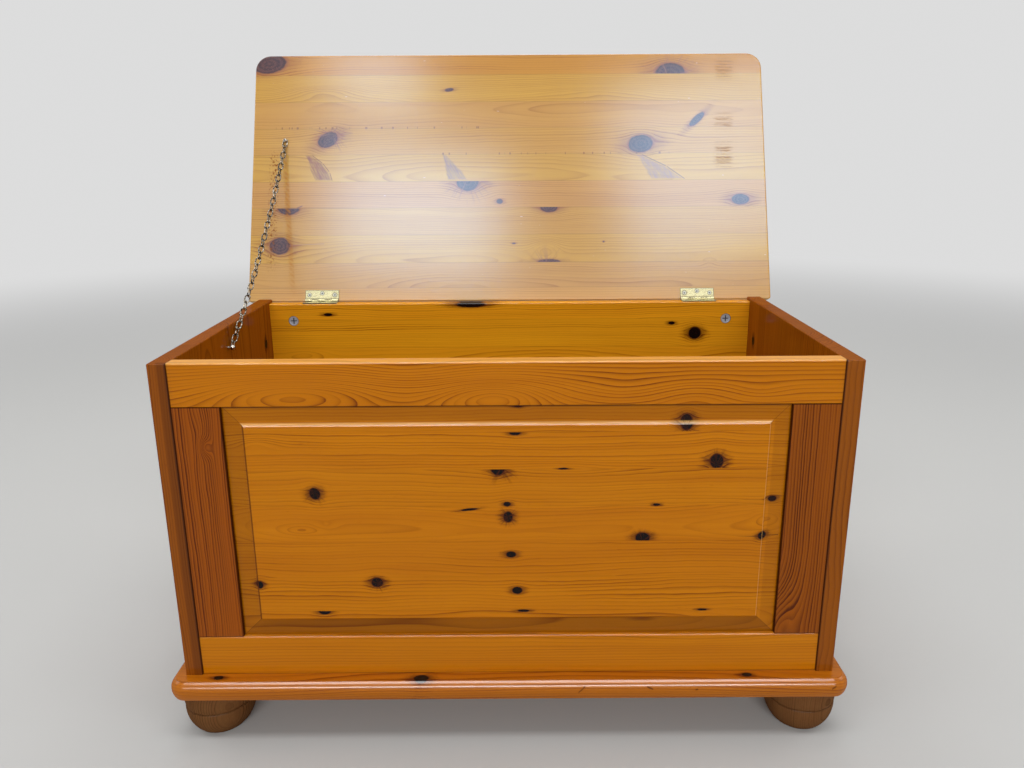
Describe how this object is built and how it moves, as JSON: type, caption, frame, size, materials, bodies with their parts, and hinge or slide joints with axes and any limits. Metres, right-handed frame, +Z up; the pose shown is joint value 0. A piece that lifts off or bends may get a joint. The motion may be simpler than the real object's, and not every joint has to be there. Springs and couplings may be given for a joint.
{
  "type": "blanket chest",
  "caption": "Pine blanket chest with a framed front, a raised and fielded panel, bun feet and a hinged lid that a chain stops when open.",
  "frame": {"origin": "on the floor, under the middle of the chest's bounding box with the lid open", "axes": "+Z up, -Y towards the panelled front, +X to the right of someone who faces the front"},
  "size_m": [0.795, 0.5536, 0.8194],
  "materials": {
    "pine_case": "satin lacquer over knotty pine",
    "pine_lid": "satin lacquer over knotty pine",
    "pine_feet": "turned and waxed",
    "beech": "raw",
    "steel": "zinc plated",
    "zinc": "die cast",
    "brass_plate": "brass plated",
    "chain_metal": "dulled brass plate"
  },
  "bodies": {
    "case": {"side_left": "pine_case", "side_right": "pine_case", "top_rail": "pine_case", "bottom_rail": "pine_case", "stile_left": "pine_case", "stile_right": "pine_case", "raised_panel": "pine_case", "back_board": "pine_case", "base_board": "pine_case", "foot_front_left": "pine_feet", "foot_front_right": "pine_feet", "foot_rear_left": "pine_feet", "foot_rear_right": "pine_feet", "foot_bolts": "steel", "base_screws": "steel", "dowels": "beech", "front_cams": "zinc", "back_cams": "zinc", "cam_bolts": "steel", "hinge_case_leaf_left": "brass_plate", "hinge_case_leaf_right": "brass_plate", "hinge_pin_left": "brass_plate", "hinge_pin_right": "brass_plate", "hinge_case_screws": "steel", "chain_screw_case": "chain_metal"},
    "lid": {"lid_board": "pine_lid", "hinge_lid_leaf_left": "brass_plate", "hinge_lid_leaf_right": "brass_plate", "hinge_lid_screws": "steel", "chain_screw_lid": "chain_metal", "chain_end_link": "chain_metal"},
    "chain_case_1": {"chain_case_1": "chain_metal"},
    "chain_case_2": {"chain_case_2": "chain_metal"},
    "chain_lid_1": {"chain_lid_1": "chain_metal"},
    "chain_lid_2": {"chain_lid_2": "chain_metal"},
    "chain_lid_3": {"chain_lid_3": "chain_metal"},
    "chain_lid_4": {"chain_lid_4": "chain_metal"},
    "chain_lid_5": {"chain_lid_5": "chain_metal"}
  },
  "joints": [
    {"name": "lid_hinge", "type": "hinge", "parent": "case", "child": "lid", "pos_m": [0, 0.1187, 0.4548], "axis": [1, 0, 0], "range_deg": [0, 110.9]},
    {"name": "chain_case_1_turn", "type": "hinge", "parent": "case", "child": "chain_case_1", "pos_m": [-0.3553, -0.0768, 0.4303], "axis": [1, 0, 0], "range_deg": [-127.2, 0]},
    {"name": "chain_case_2_turn", "type": "hinge", "parent": "chain_case_1", "child": "chain_case_2", "pos_m": [-0.35321, 0.00377, 0.49096], "axis": [1, 0, 0], "range_deg": [-3.76, 0]},
    {"name": "chain_lid_1_turn", "type": "hinge", "parent": "lid", "child": "chain_lid_1", "pos_m": [-0.3475, 0.20333, 0.68063], "axis": [1, 0, 0], "range_deg": [-57.61, 0]},
    {"name": "chain_lid_2_turn", "type": "hinge", "parent": "chain_lid_1", "child": "chain_lid_2", "pos_m": [-0.3496, 0.1336, 0.60694], "axis": [1, 0, 0], "range_deg": [-2.38, 0]},
    {"name": "chain_lid_3_turn", "type": "hinge", "parent": "chain_lid_2", "child": "chain_lid_3", "pos_m": [-0.35083, 0.09077, 0.5659], "axis": [1, 0, 0], "range_deg": [0, 8.94]},
    {"name": "chain_lid_4_turn", "type": "hinge", "parent": "chain_lid_3", "child": "chain_lid_4", "pos_m": [-0.35131, 0.07379, 0.55043], "axis": [1, 0, 0], "range_deg": [0, 11.68]},
    {"name": "chain_lid_5_turn", "type": "hinge", "parent": "chain_lid_4", "child": "chain_lid_5", "pos_m": [-0.35151, 0.06664, 0.54404], "axis": [1, 0, 0], "range_deg": [0, 56.69]}
  ],
  "couplings": [
    {"joint": "chain_case_1_turn", "follows": "lid_hinge", "ratio": -1.1469},
    {"joint": "chain_case_2_turn", "follows": "lid_hinge", "ratio": -0.033826},
    {"joint": "chain_lid_1_turn", "follows": "lid_hinge", "ratio": -0.5194},
    {"joint": "chain_lid_2_turn", "follows": "lid_hinge", "ratio": -0.021406},
    {"joint": "chain_lid_3_turn", "follows": "lid_hinge", "ratio": 0.080557},
    {"joint": "chain_lid_4_turn", "follows": "lid_hinge", "ratio": 0.10521},
    {"joint": "chain_lid_5_turn", "follows": "lid_hinge", "ratio": 0.51107}
  ]
}
